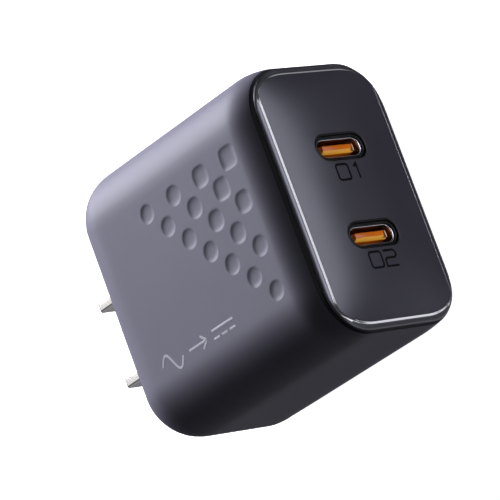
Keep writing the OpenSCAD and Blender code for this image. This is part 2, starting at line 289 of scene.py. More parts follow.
MAT_BODY = plastic("soft_touch_shell", (0.136, 0.133, 0.169), 0.55, 7000.0, 5e-6, 0.04,
                   Specular_IOR_Level=0.30)
# near-black plastic for painted shade, coloured round the mouth where the front turns in to the
# panel
MAT_PAINTED_SHADE = plastic("painted_shade_band", (0.020, 0.019, 0.026), 0.50, 7000.0, 4e-6, 0.04,
                   Specular_IOR_Level=0.2)
MAT_PANEL = plastic("gloss_panel", (0.033, 0.031, 0.046), 0.32, 5000.0, 1e-6, 0.05,
                    Specular_IOR_Level=0.6)
MAT_EDGE = plastic("polished_edge", (0.84, 0.84, 0.88), 0.19, 5000.0, 4e-7, 0.05, Metallic=1.0)
MAT_RIM = plastic("satin_edge", (0.15, 0.148, 0.165), 0.40, 5000.0, 8e-7, 0.05, Metallic=1.0)
# near-black plastic of the port trim rings, also used on the panel's cut-out lips and walls as
# painted shade
MAT_BLACK_TRIM_AND_SHADE = plastic("black_port_trim_and_painted_shade", (0.003, 0.003, 0.004), 0.38, 6000.0, 1e-6, 0.05,
                   Specular_IOR_Level=0.3)
# pale cream for a painted highlight on the front of the rib at the tongue's end
MAT_RIB_PAINTED_HIGHLIGHT = plastic("tongue_end_painted_highlight", (1.0, 0.74, 0.46), 0.25, 8000.0, 1e-6, 0.04)
# brighter orange for a painted highlight on the lower bevel of the tongue's nose
MAT_BEVEL_PAINTED_HIGHLIGHT = plastic("tongue_bevel_painted_highlight", (1.0, 0.46, 0.035), 0.22, 8000.0, 1e-6, 0.04)
MAT_ORANGE = plastic("orange_tongue", (0.82, 0.18, 0.005), 0.26, 8000.0, 2e-6, 0.10,
                     Specular_IOR_Level=0.25)
MAT_PRINT = plastic("dark_print", (0.002, 0.002, 0.002), 0.60, 9000.0, 1e-6, 0.1,
                    Specular_IOR_Level=0.05)
# raised symbol strokes: real relief, coloured much lighter than the body as a painted highlight
MAT_MARK_PAINTED_HIGHLIGHT = plastic("moulded_mark_painted_highlight", (0.46, 0.45, 0.50), 0.35, 9000.0, 1e-6, 0.05)
MAT_FRAME = plastic("inner_frame_plastic", (0.030, 0.030, 0.036), 0.55, 5000.0, 6e-6, 0.08)
MAT_EPOXY = plastic("chip_epoxy", (0.018, 0.018, 0.020), 0.62, 7000.0, 6e-6, 0.1)
MAT_FERRITE = plastic("ferrite", (0.045, 0.044, 0.048), 0.60, 3000.0, 1.2e-5, 0.15)
MAT_SLEEVE = plastic("can_sleeve", (0.018, 0.020, 0.030), 0.25, 900.0, 4e-6, 0.1)
MAT_BOXCAP = plastic("box_capacitor", (0.62, 0.40, 0.03), 0.30, 900.0, 8e-6, 0.05)
MAT_DISC = plastic("disc_capacitor", (0.03, 0.12, 0.38), 0.18, 700.0, 1.5e-5, 0.08)
MAT_CERAMIC = plastic("fuse_ceramic", (0.66, 0.62, 0.52), 0.35, 1800.0, 5e-6, 0.04)
MAT_PAINT = plastic("painted_core", (0.03, 0.14, 0.09), 0.35, 1200.0, 1.2e-5, 0.1)
MAT_PAD = plastic("silicone_pad", (0.16, 0.28, 0.46), 0.75, 2500.0, 1e-5, 0.1)
MAT_FILM = plastic("insulating_film", (0.55, 0.49, 0.32), 0.60, 1500.0, 6e-6, 0.08)
MAT_BLADE = metal("nickel_blade", (0.82, 0.80, 0.72), 0.24, (3.0, 0.3, 3.0), 3e-7)
MAT_SHELL = metal("receptacle_steel", (0.66, 0.67, 0.70), 0.20, (1.0, 6.0, 1.0))
MAT_GOLD = metal("gold_contact", (0.83, 0.62, 0.26), 0.22)
MAT_BRONZE = metal("spring_bronze", (0.72, 0.43, 0.22), 0.30, (6.0, 1.0, 1.0))
MAT_STEEL = metal("spring_steel", (0.56, 0.57, 0.60), 0.28, (6.0, 1.0, 1.0))
MAT_SCREW = metal("screw_steel", (0.40, 0.41, 0.43), 0.35)
MAT_CAN = metal("capacitor_can", (0.74, 0.75, 0.77), 0.30, (1.0, 1.0, 6.0))
MAT_SPREAD = metal("heat_spreader", (0.74, 0.75, 0.77), 0.38, (8.0, 1.0, 1.0))
MAT_BOARD = board("circuit_board")
MAT_COPPER = wound("enamelled_copper", (0.62, 0.26, 0.09), 0.0004, "Z", 0.28, Metallic=1.0)
MAT_TAPE = wound("winding_tape", (0.66, 0.44, 0.06), 0.0018, "Z", 0.35)

# ---------------------------------------------------------------- housing

CORNER = 8.4                               # corner radius of the body's section
BACK_R = 7.7                               # rounding of the back edge
NOSE_D, NOSE_X, NOSE_Z = 4.5, 0.65, 1.48   # how the front curves in to the panel
NOSE_SHIFT = (-0.20, -0.57)                # how far the front sits off the middle in X and Z
DIMPLE_STEP_X, DIMPLE_STEP_Y = 3.524, 3.351  # half steps of the dimple pattern
DIMPLE_X0, DIMPLE_Y0 = 10.22, -18.59       # first dimple of the longest row
DIMPLE_D = 0.20                            # depth of a dimple
DIMPLE_W = 3.50                            # width of the largest dimple
DIMPLE_Y1 = -16.0                          # no dimple reaches further back than this
DIMPLE_GRID_X = (-12.6, 12.2)              # the dimples lie between these, where the grid is fine
DIMPLE_GRID_Y1 = -16.9                     # and the fine grid ends here
LAST = 6                                   # the largest dimple is this many steps along
MOUTH_LIP = 0.18                           # rounding of the edge round the mouth
SHADE_BAND_D = 0.55                              # depth of the band of painted shade round the mouth


def dimple_list():
    """(x, y, half width, squareness) of each dimple."""
    out = []
    for j in range(LAST + 1):
        for i in range(j, LAST + 1, 2):
            away = math.hypot(LAST - i, j)
            out.append((DIMPLE_X0 - DIMPLE_STEP_X * j, DIMPLE_Y0 - DIMPLE_STEP_Y * i,
                        (DIMPLE_W - 0.10 * away) / 2, 2.1 + 1.7 * max(0.0, 1 - away / 3.5)))
    return out


def dimple_drop(x, y):
    """Depth of the dimple field at arrays of points on the top face."""
    drop = np.zeros_like(x)
    for cx, cy, half, power in dimple_list():
        u, v = np.abs(x - cx) / half, np.abs(y - cy) / half
        near = (u < 1.3) & (v < 1.3)
        rho = np.zeros_like(x)
        rho[near] = (u[near] ** power + v[near] ** power) ** (1 / power)
        inside = near & (rho < 1.12)
        r = rho[inside]
        # a shallow dish with a steep wall and an almost flat floor
        dish = np.clip(1 - r ** 3.2, 0, 1) ** 0.8
        drop[inside] = np.maximum(drop[inside], DIMPLE_D * dish)
    return drop


def section(ax, az, rx, rz, tops):
    """Ring in X and Z: top side at the given places, three plain sides, four corners."""
    sx = (ax - rx) / (HX - CORNER)
    sz = (az - rz) / (HZ - CORNER)
    arc, coarse = 16, 1.6
    pts = quarter(ax - rx, az - rz, rx, rz, 0.0, arc)
    for x in tops[::-1]:
        pts.append((x * sx, az))
    pts += quarter(rx - ax, az - rz, rx, rz, math.pi / 2, arc)
    for z in spread(HZ - CORNER, CORNER - HZ, coarse):
        pts.append((-ax, z * sz))
    pts += quarter(rx - ax, rz - az, rx, rz, math.pi, arc)
    for x in spread(CORNER - HX, HX - CORNER, coarse):
        pts.append((x * sx, -az))
    pts += quarter(ax - rx, rz - az, rx, rz, 1.5 * math.pi, arc)
    for z in spread(CORNER - HZ, HZ - CORNER, coarse):
        pts.append((ax, z * sz))
    return pts


def housing_mesh(step):
    """Cup with the dimples in its top face; step is the grid size where the dimples are."""
    edge = HX - CORNER
    x0, x1 = DIMPLE_GRID_X
    tops = spread(-edge, x0, 0.3) + spread(x0, x1, step) + spread(x1, edge, 0.3)
    rings = []

    def outer(y, ix, iz, off=0.0):
        """off is the share of the front's shift that this ring has."""
        ring = section(HX - ix, HZ - iz, CORNER - ix, CORNER - iz, tops)
        rings.append([(x + NOSE_SHIFT[0] * off, y, z + NOSE_SHIFT[1] * off) for x, z in ring])

    # inside of the cup from its floor out to the mouth: half length, half height, corner, depth
    for ax, az, r, y in (
            (10.0, 4.0, 1.0, -1.8), (16.9, 9.8, 3.2, -1.8), (19.0, 11.9, 5.4, -2.7),
            (19.9, 12.8, 6.2, -5.0), (19.9, 12.8, 6.2, -39.5), (18.8, 11.4, 5.0, -41.0),
            (18.8, 11.4, 5.0, RIM + 0.1), (18.95, 11.55, 5.1, RIM)):
        rings.append(at_depth(section(ax, az, r, r, tops), y))
    # rim, its small rounding, then the nose
    lip = MOUTH_LIP
    outer(RIM, NOSE_X + lip, NOSE_Z + lip, 1.0)
    for k in range(1, 4):
        t = math.pi / 2 * k / 3
        keep = lip * (1 - math.sin(t))
        outer(RIM + lip * (1 - math.cos(t)), NOSE_X + keep, NOSE_Z + keep, 1.0)
    rx = (NOSE_D ** 2 + NOSE_X ** 2) / (2 * NOSE_X)
    rz = (NOSE_D ** 2 + NOSE_Z ** 2) / (2 * NOSE_Z)
    for k in range(1, 17):
        d = lip + (NOSE_D - lip) * k / 16
        back = NOSE_D - d
        iz = rz - math.sqrt(rz * rz - back * back)
        outer(RIM + d, rx - math.sqrt(rx * rx - back * back), iz, iz / NOSE_Z)
    # straight part, fine where the dimples are
    flat0 = RIM + NOSE_D
    fine1, coarse = DIMPLE_GRID_Y1, 1.1
    for y in spread(flat0 + 0.1, fine1, step) + spread(fine1, BACK - BACK_R, coarse):
        outer(y, 0, 0)
    # rounded back edge and the outlet face
    for k in range(19):
        t = math.pi / 2 * k / 18
        inset = BACK_R * (1 - math.cos(t))
        outer(BACK - BACK_R * (1 - math.sin(t)), inset, inset)
    verts, faces = bridge(rings)
    v = np.array(verts)
    top = (v[:, 2] > HZ - 0.001) & (v[:, 1] > flat0) & (v[:, 1] < DIMPLE_Y1)
    v[top, 2] -= dimple_drop(v[top, 0], v[top, 1])
    return v, faces


def box_cutter(lo, hi):
    """A box to cut with, from its two corners."""
    x0, y0, z0 = lo
    x1, y1, z1 = hi
    verts = [(x, y, z) for x in (x0, x1) for y in (y0, y1) for z in (z0, z1)]
    faces = [(0, 1, 3, 2), (4, 6, 7, 5), (0, 4, 5, 1), (2, 3, 7, 6), (0, 2, 6, 4), (1, 5, 7, 3)]
    me = bpy.data.meshes.new("cutter")
    me.from_pydata([tuple(c * MM for c in p) for p in verts], [], faces)
    ob = bpy.data.objects.new("cutter", me)
    bpy.context.scene.collection.objects.link(ob)
    tidy(ob)
    return ob


def cut(ob, cutters):
    """Takes the cutters out of ob and removes them."""
    for c in cutters:
        mod = ob.modifiers.new("cut", "BOOLEAN")
        mod.operation = "DIFFERENCE"
        mod.solver = "EXACT"
        mod.object = c
    dg = bpy.context.evaluated_depsgraph_get()
    me = bpy.data.meshes.new_from_object(ob.evaluated_get(dg))
    ob.modifiers.clear()
    ob.data = me
    for c in cutters:
        data = c.data
        bpy.data.objects.remove(c)
        bpy.data.meshes.remove(data)


BAY_R = (CARRIER[1][1] - CARRIER[0][1]) / 2 + 0.2  # half height of the carrier's bay
BAY_X = HX - 10.6                          # half length of the bay
BAY_DEEP, SLOT_DEEP = -3.45, -6.975        # floors of the bay and of the blade slots
SLOT_W = 2.1                               # width of a blade slot
PAST = 2                                   # a cutter ends this far outside the outlet face


def plug_cutters():
    """The bay of the carrier and the two slots that the folded blades lie in."""
    cutters = [box_cutter((-BAY_X, BAY_DEEP, AXIS_Z - BAY_R), (BAY_X, PAST, AXIS_Z + BAY_R))]
    for s in (-1, 1):
        x = s * BLADE_X
        cutters.append(box_cutter((x - SLOT_W / 2, SLOT_DEEP, -HZ - 1),
                                  (x + SLOT_W / 2, PAST, AXIS_Z)))
    return cutters


def housing_piece():
    """The cup, cut for the plug, with a band of painted shade where it meets the panel."""
    verts, faces = housing_mesh(0.15)
    ob = make("housing_shell", verts, faces, MAT_BODY, replaces=("housing",), slot="body_plastic")
    cut(ob, plug_cutters())
    tidy(ob)
    ob.data.materials.append(MAT_PAINTED_SHADE)
    for p in ob.data.polygons:
        p.use_smooth = True
        # painted shade: the front's last part before the panel is coloured near black
        if RIM - 0.05 < p.center.y / MM < RIM + SHADE_BAND_D:
            p.material_index = 1
    sharp_by_angle(ob, 32)


housing_piece()

# ---------------------------------------------------------------- front panel

PORT_LIP = 0.32                            # rounding of the port cut-outs
SKIRT, LEDGE = 4.0, 2.6                    # how far the skirt and its root stand in
SKIRT_D = 3.0                              # how far the skirt reaches in behind the rim
UNDER = 1.0                                # depth of the panel's back face behind the rim
EDGE_DROP = 1.05                           # depth of the middle of a face edge
CORNER_DROP = 0.20                         # how much lower the corners of the face lie
BASE_X, BASE_Z = 20.85, 12.75              # outline of the panel where it meets the housing
FACE_X, FACE_Z = 19.70, 11.64              # outline of its face
BASE_R, FACE_R = (6.6, 6.6), (3.4, 6.2)    # their corners: extent along X and along Z
BASE_MID, FACE_MID = (-0.30, -0.43), (-0.28, -0.29)  # their centres in X and Z
SLOT_HALF_W, SLOT_HALF_H = TRIM[1][2], (TRIM[1][0] - TRIM[0][0]) / 2


def crown(x, z):
    """Depth of the panel face behind its foremost point."""
    u = min(1.0, abs(x - FACE_MID[0]) / FACE_X)
    w = min(1.0, abs(z - FACE_MID[1]) / FACE_Z)
    edges = EDGE_DROP * (1 - (1 - u ** 5) * (1 - w ** 2.6))
    return PRINT_H + edges + CORNER_DROP * u ** 6 * w ** 4


def outline(ax, az, r, mid):
    """Rounded rectangle in X and Z; every one has the same number of points."""
    rx, rz = r
    lx, lz = BASE_X - BASE_R[0], BASE_Z - BASE_R[1]
    kx, kz = (ax - rx) / lx, (az - rz) / lz
    arc, step = 14, 0.7
    pts = quarter(ax - rx, az - rz, rx, rz, 0.0, arc)
    pts += [(x * kx, az) for x in spread(lx, -lx, step)]
    pts += quarter(rx - ax, az - rz, rx, rz, math.pi / 2, arc)
    pts += [(-ax, z * kz) for z in spread(lz, -lz, step)]
    pts += quarter(rx - ax, rz - az, rx, rz, math.pi, arc)
    pts += [(x * kx, -az) for x in spread(-lx, lx, step)]
    pts += quarter(ax - rx, rz - az, rx, rz, 1.5 * math.pi, arc)
    pts += [(ax, z * kz) for z in spread(-lz, lz, step)]
    return [(x + mid[0], z + mid[1]) for x, z in pts]


def inside(x, z, inset):
    """True if a point is inside the face outline by at least inset."""
    dx = max(0.0, abs(x - FACE_MID[0]) - (FACE_X - FACE_R[0])) / (FACE_R[0] - inset)
    dz = max(0.0, abs(z - FACE_MID[1]) - (FACE_Z - FACE_R[1])) / (FACE_R[1] - inset)
    return math.hypot(dx, dz) < 1


def in_slot(x, z, grow):
    """True if a point is inside a port cut-out that is larger by grow."""
    straight = SLOT_HALF_W - SLOT_HALF_H
    dz = max(0.0, abs(z) - straight)
    return math.hypot(abs(x) - PORT_X, dz) < SLOT_HALF_H + grow


def triangle_middle(points, t):
    """Middle of a flat triangle, as (x, z)."""
    return sum(points[i].x for i in t) / 3, sum(points[i].y for i in t) / 3


def grown_slot(s, grow):
    """Outline of the cut-out on side s of the middle, larger by grow."""
    return stadium(s * PORT_X, SLOT_HALF_W + grow, SLOT_HALF_H + grow)


def panel_mesh():
    """Skirt, side, polished edge and face of the panel, with both cut-outs."""
    lip = PORT_LIP
    rings = []

    def ring(part, drop=None, y=None, grow=0.0):
        """part runs from 0 at the base outline to 1 at the face outline.

        The ring lies at y, or drop behind the crown of the face.
        """
        ax = BASE_X + (FACE_X - BASE_X) * part + grow
        az = BASE_Z + (FACE_Z - BASE_Z) * part + grow
        rad = [b + (f - b) * part + grow for b, f in zip(BASE_R, FACE_R)]
        pts = outline(ax, az, rad, [b + (f - b) * part for b, f in zip(BASE_MID, FACE_MID)])
        if y is None:
            rings.append([(x, FRONT + crown(x, z) + drop, z) for x, z in pts])
        else:
            rings.append(at_depth(pts, y))

    # skirt, underside of the rim, then the outside from the junction to the face
    ring(0, y=RIM + UNDER, grow=-SKIRT)
    ring(0, y=RIM + SKIRT_D, grow=-SKIRT)
    ring(0, y=RIM + SKIRT_D, grow=-LEDGE)
    ring(0, y=RIM + 0.02, grow=-LEDGE)
    ring(0, y=RIM + 0.02, grow=-0.30)
    ring(0, y=RIM - 0.04, grow=-0.06)
    # t is the share of the way from the rim to the crown
    for t, part in ((0.12, 0.0), (0.30, 0.05), (0.45, 0.16), (0.56, 0.34), (0.62, 0.52)):
        ring(part, drop=0.0)
        rings[-1] = [(x, (RIM - 0.05) * (1 - t) + y * t, z) for x, y, z in rings[-1]]
    # narrow polished edge round the face
    for part, drop in ((0.76, 0.20), (0.84, 0.135), (0.92, 0.067), (1.0, 0.0)):
        ring(part, drop=drop)
    verts, faces = bridge(rings, first_cap=False, last_cap=False)
    n = len(rings[0])
    last = (len(rings) - 1) * n
    face_edge = rings[-1]

    # face: triangulated between its outline and the two cut-outs
    pts, edges = [], []

    def loop(points):
        start = len(pts)
        pts.extend(points)
        edges.extend((start + i, start + (i + 1) % len(points)) for i in range(len(points)))

    loop([(p[0], p[2]) for p in face_edge])
    for s in (1, -1):
        loop(grown_slot(s, lip))
    for inset in (0.2, 0.5):
        pts.extend(outline(FACE_X - inset, FACE_Z - inset, [r - inset for r in FACE_R], FACE_MID))
    for grow in (0.14, 0.4):
        for s in (1, -1):
            pts.extend(grown_slot(s, lip + grow))
    grid = 0.62
    for x in np.arange(-PX, PX, grid):
        for z in np.arange(-PZ, PZ, grid):
            if inside(x, z, 0.8) and not in_slot(x, z, lip + 0.75):
                pts.append((float(x), float(z)))
    out = delaunay_2d_cdt([Vector(p) for p in pts], edges, [], 0, 1e-5)
    co, tris, source = out[0], out[2], out[3]
    index = {}
    for k, p in enumerate(co):
        old = [i for i in source[k] if i < n]
        if old:
            index[k] = last + old[0]
        else:
            index[k] = len(verts)
            verts.append((p.x, FRONT + crown(p.x, p.y), p.y))
    for t in tris:
        cx, cz = triangle_middle(co, t)
        if inside(cx, cz, 0.0) and not in_slot(cx, cz, lip):
            faces.append(tuple(index[i] for i in t))
    # walls of the cut-outs, with a rounded lip
    for s in (1, -1):
        walls = []
        for k in range(5):
            t = math.pi / 2 * k / 4
            drop = lip * (1 - math.cos(t))
            lip_ring = grown_slot(s, lip * (1 - math.sin(t)))
            walls.append([(x, FRONT + crown(x, z) + drop, z) for x, z in lip_ring])
        walls.append(at_depth(grown_slot(s, 0), RIM + UNDER))
        add_mesh(verts, faces, *bridge(walls, first_cap=False, last_cap=False))
    # back face: closes the body between the skirt and the cut-outs
    pts, edges = [], []
    loop(outline(BASE_X - SKIRT, BASE_Z - SKIRT, [r - SKIRT for r in BASE_R], BASE_MID))
    for s in (1, -1):
        loop(grown_slot(s, 0))
    co, _, tris = delaunay_2d_cdt([Vector(p) for p in pts], edges, [], 0, 1e-5)[:3]
    back_face = [t for t in tris if not in_slot(*triangle_middle(co, t), -0.003)]
    add_mesh(verts, faces, [(p.x, RIM + UNDER, p.y) for p in co], back_face)
    return verts, faces


def panel_piece():
    """The panel: gloss face, polished edge, cut-out lips and walls coloured black as painted shade,
    and satin side.
    """
    verts, faces = panel_mesh()
    ob = make("front_panel_gloss", verts, faces, MAT_PANEL, replaces=("front_panel",),
              slot="panel_plastic")
    for material in (MAT_EDGE, MAT_BLACK_TRIM_AND_SHADE, MAT_RIM):
        ob.data.materials.append(material)
    edge, trim, rim = 1, 2, 3
    band = 0.285                           # width of the polished edge
    for p in ob.data.polygons:
        x, y, z = p.center / MM
        if y < RIM and inside(x, z, -band) and not inside(x, z, 0.001):
            p.material_index = edge
        # painted shade: the lips and walls of the cut-outs take the black of the trim
        elif y < RIM + 0.9 and in_slot(x, z, PORT_LIP * 0.95):
            p.material_index = trim
        elif y < RIM and not inside(x, z, -band):
            p.material_index = rim
    sharp_by_angle(ob, 40)


panel_piece()

# ---------------------------------------------------------------- ports


TRIM_Y = FRONT + 0.34, FRONT + 0.64        # front and back of a trim ring
TRIM_IN = (4.41, 1.57)                     # half sizes of its opening
SHELL_Y = FRONT + 0.66                     # front of a shell
SHELL_OUT, SHELL_IN = (4.47, 1.63), (4.17, 1.33)  # half sizes of a shell
TONGUE_HALF_W, TONGUE_HALF_H = 6.69 / 2, 0.66
TONGUE_Y = FRONT + 1.0                     # front of a tongue
RIB_END = 0.30                             # middle of its rib, in from the end
BLOCK_Y = TONGUE[1][1] - 2.6               # front of the block behind a tongue
BLOCK_HALF_W, BLOCK_HALF_H = 8.34 / 2, 2.66 / 2


def tube(name, cx, outer, inner, y0, y1, material, replaces, slot, lip):
    """Slot-shaped tube with a rounded front lip; outer and inner are half sizes (Z, X)."""
    rings = [at_depth(stadium(cx, *outer), y1)]
    mid = (outer[0] + inner[0]) / 2, (outer[1] + inner[1]) / 2
    wall = (outer[0] - inner[0]) / 2
    rings.append(at_depth(stadium(cx, *outer), y0 + lip))
    for k in range(1, 8):
        t = math.pi * k / 8
        g = wall * math.cos(t)
        rings.append(at_depth(stadium(cx, mid[0] + g, mid[1] + g), y0 + lip * (1 - math.sin(t))))
    rings.append(at_depth(stadium(cx, *inner), y0 + lip))
    rings.append(at_depth(stadium(cx, *inner), y1))
    verts, faces = bridge(rings, False, False)
    n = len(rings[0])
    last = (len(rings) - 1) * n
    faces.extend((last + i, last + (i + 1) % n, (i + 1) % n, i) for i in range(n))
    ob = make(name, verts, faces, material, replaces=replaces, slot=slot)
    sharp_by_angle(ob, 50)


def tongue(name, cx, replaces):
    """Orange tongue with a bevelled nose, rounded sides and a rib at one end; the rib's front and
    the lower bevel are coloured lighter as painted highlights.
    """
    w, t = TONGUE_HALF_W, TONGUE_HALF_H
    y0 = TONGUE_Y
    rings = []

    def rect(hw, ht, y, r, lift=0.0, side=0.0):
        """Rounded rectangle, moved by lift along X and by side along Z."""
        pts = []
        for sx, sz, a0 in ((1, 1, 0), (-1, 1, 90), (-1, -1, 180), (1, -1, 270)):
            for k in range(5):
                a = math.radians(a0 + 90 * k / 4)
                pts.append((cx + lift + sx * (ht - r) + r * math.cos(a), y,
                            side + sz * (hw - r) + r * math.sin(a)))
        rings.append(pts)

    rect(w - 0.42, t - 0.31, y0, 0.10, 0.23)
    rect(w - 0.38, t - 0.29, y0 + 0.02, 0.12, 0.23)
    rect(w - 0.30, t - 0.20, y0 + 0.12, 0.16, 0.14)
    rect(w - 0.14, t - 0.05, y0 + 0.32, 0.20, 0.02)
    rect(w - 0.06, t, y0 + 0.42, 0.24)
    rect(w, t, y0 + 0.62, 0.24)
    rect(w, t, BLOCK_Y, 0.20)
    verts, faces = bridge(rings)
    # raised rib at one end of the nose
    rings.clear()
    end = RIB_END - w
    for hw, ht, y, r in ((0.08, 0.44, -0.12, 0.05), (0.14, 0.50, -0.07, 0.10),
                         (0.18, 0.53, 0.0, 0.12), (0.18, 0.53, 0.20, 0.12)):
        rect(hw, ht, y0 + y, r, 0.04, end)
    add_mesh(verts, faces, *bridge(rings))
    ob = make(name, verts, faces, MAT_ORANGE, replaces=replaces, slot="tongue_plastic")
    for material in (MAT_RIB_PAINTED_HIGHLIGHT, MAT_BEVEL_PAINTED_HIGHLIGHT):
        ob.data.materials.append(material)
    rib_highlight, bevel_highlight = 1, 2
    for p in ob.data.polygons:
        x, y, z = p.center / MM
        # painted highlight: the front of the rib at the tongue's end is coloured pale cream
        if y < y0 + 0.25 and abs(z - end) < 0.19:
            p.material_index = rib_highlight
        # painted highlight: the lower half of the nose bevel is coloured a brighter orange than the
        # tongue
        elif y0 + 0.01 < y < y0 + 0.45 and x < cx - 0.1:
            p.material_index = bevel_highlight
    sharp_by_angle(ob, 38)


def base_block(name, cx):
    """Orange block behind the tongue; it fills the shell."""
    hw, hh = BLOCK_HALF_W - 0.01, BLOCK_HALF_H - 0.01
    chamfer = 0.15
    rings = [at_depth(stadium(cx, hw - chamfer, hh - chamfer), BLOCK_Y),
             at_depth(stadium(cx, hw, hh), BLOCK_Y + chamfer),
             at_depth(stadium(cx, hw, hh), TONGUE[1][1])]
    verts, faces = bridge(rings)
    ob = make(name, verts, faces, MAT_ORANGE, slot="tongue_plastic")
    sharp_by_angle(ob, 50)


for tag, s in (("1", 1), ("2", -1)):
    cx = s * PORT_X
    tube("port_trim_ring_" + tag, cx, (SLOT_HALF_W - 0.01, SLOT_HALF_H - 0.01), TRIM_IN,
         *TRIM_Y, MAT_BLACK_TRIM_AND_SHADE, ("port_trim_" + tag,), "trim_plastic", 0.16)
    tube("receptacle_shell_" + tag, cx, SHELL_OUT, SHELL_IN, SHELL_Y, SHELL[1][1],
         MAT_SHELL, ("usb_shell_" + tag,), "shell_steel", 0.12)
    tongue("receptacle_tongue_" + tag, cx, ("usb_tongue_" + tag,))
    base_block("receptacle_base_" + tag, cx)

# ---------------------------------------------------------------- printed and moulded marks


def ribbon(verts, faces, path, width, height, place, closed=False):
    """Adds a low solid stroke along a path; place turns (u, v, h) into a point."""
    n = len(path)
    sides = []
    for i in range(n):
        here = Vector(path[i])
        before = Vector(path[(i - 1) % n]) if closed or i else here
        after = Vector(path[(i + 1) % n]) if closed or i < n - 1 else here
        d0 = (here - before).normalized() if (here - before).length > 0 else None
        d1 = (after - here).normalized() if (after - here).length > 0 else None
        d0, d1 = d0 or d1, d1 or d0
        mid = (d0 + d1).normalized()
        normal = Vector((-mid.y, mid.x))
        reach = 1 / max(0.5, normal.dot(Vector((-d0.y, d0.x))))
        sides.append((here, normal * reach))
    k0 = len(verts)
    sunk = -0.03                           # the foot of the stroke lies below the surface
    for here, normal in sides:
        for off, h in ((-0.5, sunk), (-0.34, height), (0.34, height), (0.5, sunk)):
            p = here + normal * (off * width)
            verts.append(place(p.x, p.y, h))
    for i in range(n if closed else n - 1):
        a, b = k0 + 4 * i, k0 + 4 * ((i + 1) % n)
        for c in range(4):
            d = (c + 1) % 4
            faces.append((a + c, a + d, b + d, b + c))
    if not closed:
        faces.append((k0 + 3, k0 + 2, k0 + 1, k0))
        e = k0 + 4 * (n - 1)
        faces.append((e, e + 1, e + 2, e + 3))


def fine(path, step, closed=False):
    """The same path with points no further apart than step."""
    out = []
    m = len(path) if closed else len(path) - 1
    for i in range(m):
        a, b = Vector(path[i]), Vector(path[(i + 1) % len(path)])
        k = max(1, int(math.ceil((b - a).length / step)))
        out.extend(tuple(a.lerp(b, t / k)) for t in range(k))
    if not closed:
        out.append(tuple(path[-1]))
    return out


def rounded_loop(w, h, r):
    """Rounded rectangle from the origin up to (w, h)."""
    pts = []
    n = 4
    for cx, cy, a0 in ((w - r, h - r, 0), (r, h - r, 90), (r, r, 180), (w - r, r, 270)):
        for k in range(n + 1):
            a = math.radians(a0 + 90 * k / n)
            pts.append((cx + r * math.cos(a), cy + r * math.sin(a)))
    return pts


DIGIT_W, DIGIT_H, DIGIT_GAP = 2.36, 2.45, 0.62
DIGIT_STROKE = 0.42
NUMBER_X = -4.05                           # middle of a number, from the middle of its port
DIGITS = {
    "0": (rounded_loop(DIGIT_W, DIGIT_H, 0.45), True),
    "1": ([(0.55, DIGIT_H - 0.55), (1.15, DIGIT_H), (1.15, 0.0)], False),
    "2": ([(0.0, DIGIT_H), (DIGIT_W - 0.4, DIGIT_H), (DIGIT_W, DIGIT_H - 0.4), (DIGIT_W, 1.6),
           (DIGIT_W - 0.35, 1.28), (0.35, 1.28), (0.0, 0.95), (0.0, 0.0), (DIGIT_W, 0.0)], False),
}


def port_number(tag, digits, cx):
    """Printed number below a port: up is +X, right is -Z."""
    verts, faces = [], []
    u0 = -(2 * DIGIT_W + DIGIT_GAP) / 2

    def place(u, v, h):
        x, z = cx + v - DIGIT_H / 2, -u
        return (x, FRONT + crown(x, z) - h, z)

    for k, d in enumerate(digits):
        path, closed = DIGITS[d]
        shift = u0 + k * (DIGIT_W + DIGIT_GAP)
        path = fine([(u + shift, v) for u, v in path], 0.3, closed)
        ribbon(verts, faces, path, DIGIT_STROKE, PRINT_H, place, closed)
    make("port_number_" + tag, verts, faces, MAT_PRINT, smooth=False)


port_number("1", "01", PORT_X + NUMBER_X)
port_number("2", "02", -PORT_X + NUMBER_X)

MARK_X0, MARK_Y0 = -12.8, -10.5            # lower left corner of the row of symbols
MARK_SIZE, MARK_STROKE = 2.9, 0.44         # height of the symbols and width of their strokes
WAVE_W = 5.0                               # length of the wave
ARROW, TIP = (6.6, 10.9), (1.2, 1.0)       # ends of the arrow, and length and height of its tip
BAR = (12.5, 17.6)                         # ends of the direct-current bar
DASH, DASH_STEP = 1.3, 1.9                 # its three dashes


def side_symbols():
    """Mains wave, arrow and direct-current bar on the dimpled side: up is +X, right is -Y."""
    verts, faces = [], []
    h, mid = MARK_SIZE, MARK_SIZE / 2

    def place(u, v, up):
        return (MARK_X0 + v, MARK_Y0 - u, HZ + up)

    def stroke(path):
        ribbon(verts, faces, path, MARK_STROKE, MARK_H, place)

    def line(a, b):
        stroke(fine([a, b], 0.5))

    n = 40
    stroke([(WAVE_W * k / n, mid + mid * math.sin(2 * math.pi * k / n)) for k in range(n + 1)])
    tail, tip = ARROW
    line((tail, mid), (tip, mid))
    for way in (1, -1):
        line((tip - TIP[0], mid + way * TIP[1]), (tip, mid))
    line((BAR[0], h * 0.72), (BAR[1], h * 0.72))
    for k in range(3):
        u = BAR[0] + DASH_STEP * k
        line((u, h * 0.28), (u + DASH, h * 0.28))
    # painted highlight: the strokes take a colour much lighter than the body
    make("side_symbols", verts, faces, MAT_MARK_PAINTED_HIGHLIGHT, smooth=False)


side_symbols()

# ---------------------------------------------------------------- plug blades


def soften(ob, name, width, segments, degrees):
    """Bevel on the edges sharper than this angle; width in mm."""
    mod = ob.modifiers.new(name, "BEVEL")
    mod.width = width * MM
    mod.segments = segments
    mod.limit_method = "ANGLE"
    mod.angle_limit = math.radians(degrees)


